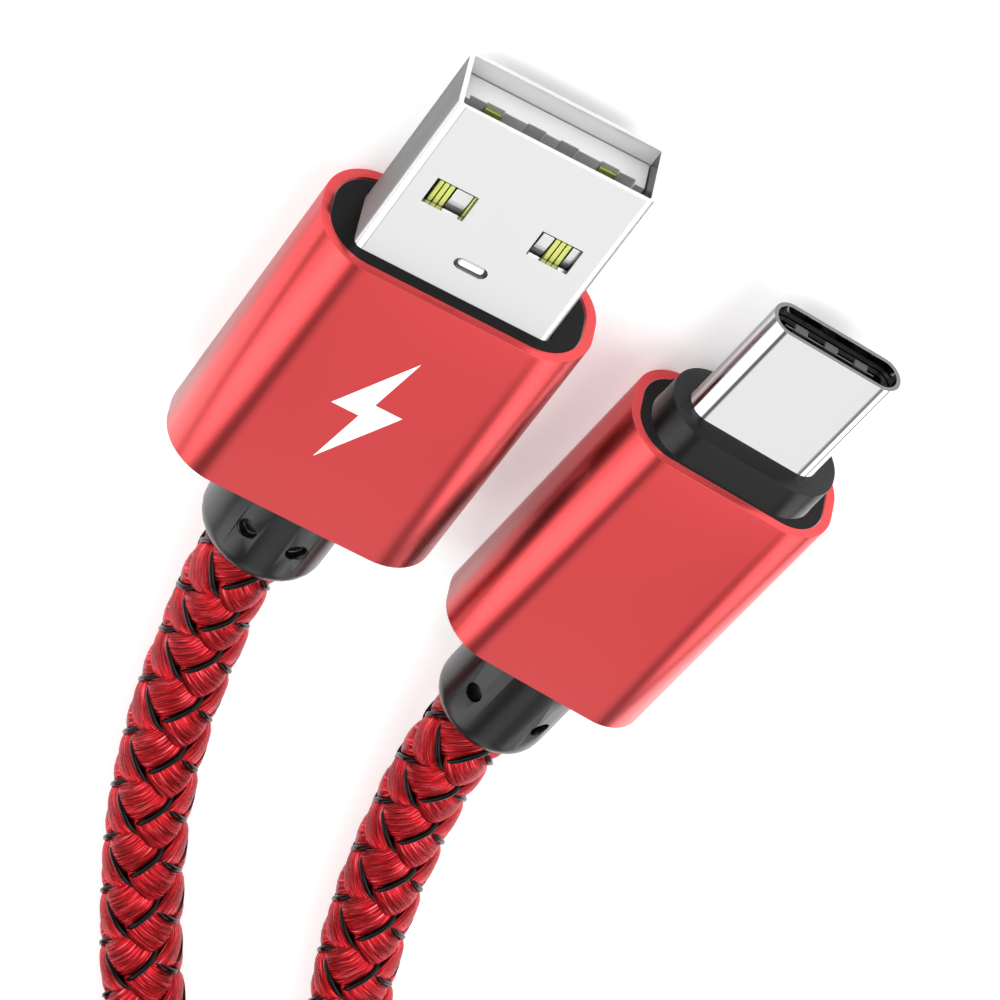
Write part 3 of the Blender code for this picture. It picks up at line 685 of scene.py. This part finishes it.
def add_world():
    """A soft tent: pale all round, with a few broad bright and dark bands overhead."""
    world = bpy.data.worlds.new("Soft tent")
    bpy.context.scene.world = world
    world.use_nodes = True
    tree = world.node_tree
    place = node(tree, "ShaderNodeTexCoord")
    split = node(tree, "ShaderNodeSeparateXYZ")
    tree.links.new(place.outputs["Generated"], split.inputs[0])
    ramp = node(tree, "ShaderNodeValToRGB")
    elements = ramp.color_ramp.elements
    for position, _ in WORLD_BANDS[2:]:
        elements.new(position)
    for element, (position, value) in zip(elements, WORLD_BANDS):
        element.position = position
        element.color = (value, value, value, 1)
    spread = node(tree, "ShaderNodeMapRange")
    spread.inputs["From Min"].default_value = -1
    spread.inputs["From Max"].default_value = 1
    tree.links.new(split.outputs["X"], spread.inputs["Value"])
    tree.links.new(spread.outputs["Result"], ramp.inputs["Fac"])
    horizon = node(tree, "ShaderNodeMapRange", interpolation_type="SMOOTHSTEP")
    for socket, value in WORLD_HORIZON.items():
        horizon.inputs[socket].default_value = value
    tree.links.new(split.outputs["Z"], horizon.inputs["Value"])
    background = tree.nodes["Background"]
    tree.links.new(ramp.outputs["Color"], background.inputs["Color"])
    tree.links.new(horizon.outputs["Result"], background.inputs["Strength"])


def add_key():
    """One soft light from behind and above, for crisp glints and a soft shadow."""
    data = bpy.data.lights.new("Key", "AREA")
    data.shape, data.size, data.energy = "DISK", KEY["size"], KEY["power"]
    key = bpy.data.objects.new("Key", data)
    bpy.context.scene.collection.objects.link(key)
    key.location = KEY["place"]
    aim = Vector(KEY["aim"]) - key.location
    key.rotation_euler = aim.to_track_quat("-Z", "Y").to_euler()


def add_floor():
    """A wide pale floor that shines a little, so that it comes out white."""
    mesh = bpy.data.meshes.new("floor")
    corners = [(FLOOR_HALF * x, FLOOR_HALF * y, 0) for x, y in ((-1, -1), (1, -1), (1, 1), (-1, 1))]
    mesh.from_pydata(corners, [], [(0, 1, 2, 3)])
    paint = finish_of(
        "Pale floor",
        (0.90, 0.90, 0.90),
        0.6,
        Emission_Color=(1, 1, 1, 1),
        Emission_Strength=0.3,
    )
    floor = linked("floor", mesh, paint)


# ---------------------------------------------------------------- build

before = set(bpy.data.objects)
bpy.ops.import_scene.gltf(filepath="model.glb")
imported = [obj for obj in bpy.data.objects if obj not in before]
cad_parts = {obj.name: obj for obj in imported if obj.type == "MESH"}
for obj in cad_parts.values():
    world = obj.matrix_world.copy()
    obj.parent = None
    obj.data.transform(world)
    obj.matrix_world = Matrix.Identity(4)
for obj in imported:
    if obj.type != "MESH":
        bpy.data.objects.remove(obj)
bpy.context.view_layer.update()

YARN = yarn_material()
TRACER = finish_of("Black tracer", (0.001, 0.001, 0.001), 0.14, Specular_IOR_Level=0.12)
RED_METAL = finish_of("Red anodised aluminium", (0.72, 0.078, 0.082), 0.27, 1.0)
RED_METAL = grain(RED_METAL, scale=9000, strength=0.12, distance=0.00002)
# Painted shade: the red is darker on faces that turn down and full on faces that turn up or towards
# the mouth.
RED_METAL = painted_shade_by_facing(
    RED_METAL,
    low=(0.30, 0.003, 0.005),
    high=(0.72, 0.078, 0.082),
    start=-0.25,
    stop=0.6,
    mouth=1.0,
)

STEEL = finish_of("Polished steel", (0.80, 0.80, 0.81), 0.10, 1.0)
# Painted shade: the steel is darker on faces that turn down.
STEEL = painted_shade_by_facing(STEEL, low=(0.13, 0.13, 0.14), high=(0.80, 0.80, 0.81), start=-0.1, stop=0.5)
DARK_STEEL = finish_of("Dark steel", (0.42, 0.42, 0.42), 0.3, 1.0)
DULL_STEEL = finish_of("Dull steel", (0.11, 0.11, 0.11), 0.35, 0.6)
PLATE = finish_of(
    "Satin nickel plate",
    (0.78, 0.78, 0.78),
    0.22,
    0.85,
    Specular_Tint=(0.45, 0.45, 0.45, 1),
)
# Painted shade: the plate is light on faces that turn up, much of the way light on faces towards
# the mouth, and darker on the rest.
PLATE = painted_shade_by_facing(
    PLATE,
    low=(0.30, 0.30, 0.30),
    high=(0.78, 0.78, 0.78),
    start=0.1,
    stop=0.7,
    mouth=0.5,
)
GOLD = finish_of("Gold plate", (0.62, 0.66, 0.18), 0.25, 0.6)

BLACK = finish_of("Black plastic", (0.004, 0.004, 0.0045), 0.33, Specular_IOR_Level=0.12)
BLACK = grain(BLACK, scale=5000, strength=0.15, distance=0.00002)
COLLAR = finish_of("Black glossy plastic", (0.004, 0.004, 0.0045), 0.28, Specular_IOR_Level=0.32)
COLLAR = grain(COLLAR, scale=5000, strength=0.1, distance=0.00002)
RUBBER = finish_of("Black elastomer", (0.003, 0.003, 0.003), 0.27, Specular_IOR_Level=0.4)
RUBBER = grain(RUBBER, scale=4000, strength=0.06, distance=0.00002)
WHITE = finish_of("White plastic", (0.72, 0.72, 0.70), 0.4)
PALE = finish_of("Pale plastic", (0.80, 0.80, 0.80), 0.4)
TONGUE = finish_of("Pale tongue", (0.7, 0.7, 0.7), 0.45)
# Painted shade: the faces that turn up are darker than the rest, for the shade under the shell's
# wall.
TONGUE = painted_shade_by_facing(TONGUE, low=(0.72, 0.72, 0.72), high=(0.48, 0.48, 0.48), start=0.3, stop=0.8)
PRINT = finish_of("White print", (0.9, 0.9, 0.9), 0.5)
CARD = finish_of("Solder mask", (0.02, 0.15, 0.05), 0.3)
CARD = mottled(CARD, scale=900, low=(0.01, 0.1, 0.03), high=(0.03, 0.2, 0.07))
STRAP = finish_of("Hook and loop strap", (0.015, 0.015, 0.016), 0.85)
STRAP = grain(STRAP, scale=4500, strength=1.0, distance=0.0003)
WIRES = {
    "red": finish_of("Red insulation", (0.55, 0.02, 0.02), 0.35),
    "white": finish_of("White insulation", (0.75, 0.75, 0.75), 0.35),
    "green": finish_of("Green insulation", (0.03, 0.32, 0.08), 0.35),
    "black": finish_of("Black insulation", (0.02, 0.02, 0.02), 0.35),
}

add_camera()
route = SEAT_A + LEAD_A + hank_route() + LEAD_C[::-1] + SEAT_C[::-1]
centre, distance = catmull_rom(route, ROUTE_STEP)
braid(centre, distance)

# The paint and the round edges' width of each node, or of each kind of node on both plugs.
LOOKS = {
    "type_a_shell": (PLATE, 0.00006),
    "type_a_insulator": (TONGUE, 0.00005),
    "type_c_shell": (STEEL, 0.00010),
    "type_c_insulator": (BLACK, 0.00005),
    "housing": (RED_METAL, 0.0),
    "front_insert": (BLACK, 0.00010),
    "collar": (COLLAR, 0.00012),
    "strain_relief": (RUBBER, 0.0002),
    "inner_mould": (WHITE, 0.0003),
    "paddle_card": (CARD, 0.00004),
    "resistor": (BLACK, 0.00005),
    "ground_spring_top": (DARK_STEEL, 0.00002),
    "ground_spring_bottom": (DARK_STEEL, 0.00002),
    "latch_left": (STEEL, 0.00003),
    "latch_right": (STEEL, 0.00003),
    "tie": (STRAP, 0.0002),
}
for name in sorted(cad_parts):
    if name.startswith("cable_") and name != "cable_tie":
        continue  # the braid stands for it
    kind = name.split("_", 2)[-1]  # the name without its plug
    if kind.startswith("wire_"):
        refined(name, WIRES[kind.removeprefix("wire_")])
    elif kind.startswith("contact_"):
        refined(name, GOLD, 0.00002)
    else:
        made = refined(name, *LOOKS.get(name, LOOKS.get(kind)))
        # The shells mirror the plain tent, not the pieces round their feet.
        made.visible_glossy = kind not in ("housing", "front_insert", "collar")
window_details()
spring_pads()
strap_end()
printed_mark()

add_world()
add_key()
add_floor()
bpy.context.scene.view_settings.view_transform = "Standard"
